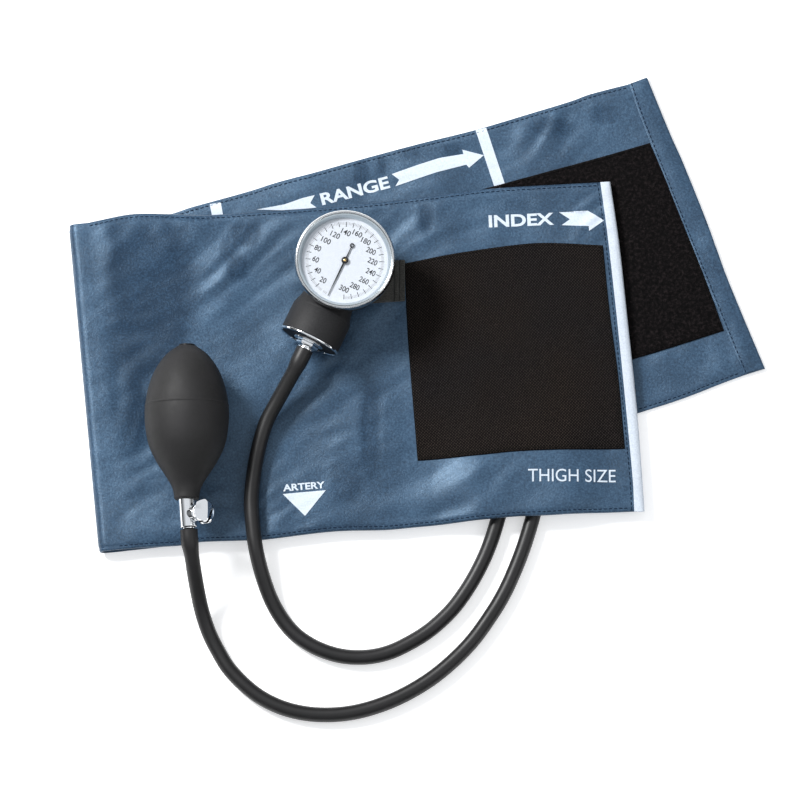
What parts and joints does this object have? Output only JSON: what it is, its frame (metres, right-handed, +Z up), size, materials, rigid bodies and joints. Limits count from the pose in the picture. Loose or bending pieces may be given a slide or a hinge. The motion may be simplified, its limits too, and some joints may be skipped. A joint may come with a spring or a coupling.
{
  "type": "blood pressure cuff",
  "caption": "Aneroid blood pressure cuff: folded cloth cuff with hook and loop patches, dial gauge on a webbing loop, squeeze bulb with release valve, and rubber hoses.",
  "frame": {"origin": "on the underside of the folded cuff's tail, at the height of the surface it lies on, near the middle of the cuff", "axes": "+Z up from the table, +X along the cuff from its fold to its end, +Y across the cuff away from the hoses"},
  "size_m": [0.3832, 0.3606, 0.0563],
  "materials": {
    "navy_nylon": "satin woven nylon with a fine grain",
    "hook_tape": "matte woven hook tape with zigzag rows",
    "loop_pile": "matte brushed loop pile",
    "white_tape": "matte woven binding tape",
    "webbing": "ribbed matte webbing",
    "bladder_rubber": "matte moulded rubber",
    "hose_rubber": "satin dark grey rubber",
    "case_enamel": "satin black enamel with a fine texture",
    "chrome": "polished chrome plate",
    "steel": "brushed steel",
    "brass": "satin brass",
    "dial_face": "matte white dial with black printing",
    "black_paint": "semi-gloss black paint",
    "crystal": "clear polished lens"
  },
  "bodies": {
    "front_half": {"front_face_cover": "navy_nylon", "front_back_cover": "navy_nylon", "cover_fold": "navy_nylon", "bladder": "bladder_rubber", "bladder_port_gauge": "bladder_rubber", "bladder_port_bulb": "bladder_rubber", "hook_patch": "hook_tape", "index_strip": "white_tape", "gauge_loop": "webbing", "gauge_case": "case_enamel", "base_plate": "chrome", "stem_nut": "chrome", "gauge_stem": "chrome", "bezel": "chrome", "crystal": "crystal", "dial": "dial_face", "pressure_capsule": "brass", "movement_plate": "brass", "hairspring": "steel", "hook_clip": "steel", "clip_screw_left": "steel", "clip_screw_right": "steel", "bulb": "hose_rubber", "inlet_valve_body": "black_paint", "valve_body": "chrome", "gauge_hose": "hose_rubber", "bulb_hose": "hose_rubber"},
    "tail": {"tail_face_cover": "navy_nylon", "tail_back_cover": "navy_nylon", "loop_patch": "loop_pile", "tail_hem": "navy_nylon"},
    "sector": {"sector_gear": "brass", "sector_shaft": "steel"},
    "pointer": {"pointer": "black_paint", "pointer_hub": "black_paint", "pointer_arbor": "brass", "pinion": "brass"},
    "push_rod": {"push_rod": "steel"},
    "release_needle": {"valve_needle": "steel", "needle_collar": "chrome"},
    "thumb_screw": {"thumb_screw": "chrome"},
    "check_valve": {"check_valve_disc": "bladder_rubber"},
    "inlet_valve": {"inlet_ball": "steel"}
  },
  "joints": [
    {"name": "cuff_unfold", "type": "hinge", "parent": "front_half", "child": "tail", "pos_m": [-0.1695, 0.006, 0.0048], "axis": [-0.0928, 0.9957, 0], "range_deg": [0, 180]},
    {"name": "sector_swing", "type": "hinge", "parent": "front_half", "child": "sector", "pos_m": [-0.01624, 0.063, 0.033], "axis": [0, 0, 1], "range_deg": [0, 56], "stiffness_Nm_per_rad": 0.001},
    {"name": "pointer_turn", "type": "hinge", "parent": "front_half", "child": "pointer", "pos_m": [-0.0305, 0.0698, 0.047], "axis": [0, 0, -1], "range_deg": [0, 336]},
    {"name": "rod_push", "type": "slide", "parent": "front_half", "child": "push_rod", "axis": [0.4305, 0.9026, 0], "range_m": [0, 0.00234]},
    {"name": "needle_lift", "type": "slide", "parent": "front_half", "child": "release_needle", "axis": [0.8172, 0.0571, 0.5736], "range_m": [0, 0.00105]},
    {"name": "thumb_screw_turn", "type": "hinge", "parent": "release_needle", "child": "thumb_screw", "pos_m": [-0.11661, -0.06928, 0.0331], "axis": [0.8172, 0.0571, 0.5736], "range_deg": [0, 540]},
    {"name": "check_valve_lift", "type": "slide", "parent": "front_half", "child": "check_valve", "axis": [0.0698, -0.9976, 0], "range_m": [0, 0.0008]},
    {"name": "inlet_ball_lift", "type": "slide", "parent": "front_half", "child": "inlet_valve", "axis": [0, -1, 0], "range_m": [0, 0.003]}
  ],
  "couplings": [
    {"joint": "sector_swing", "follows": "rod_push", "rad_per_m": 416.66},
    {"joint": "pointer_turn", "follows": "rod_push", "rad_per_m": 2500},
    {"joint": "thumb_screw_turn", "follows": "needle_lift", "rad_per_m": 8975}
  ]
}
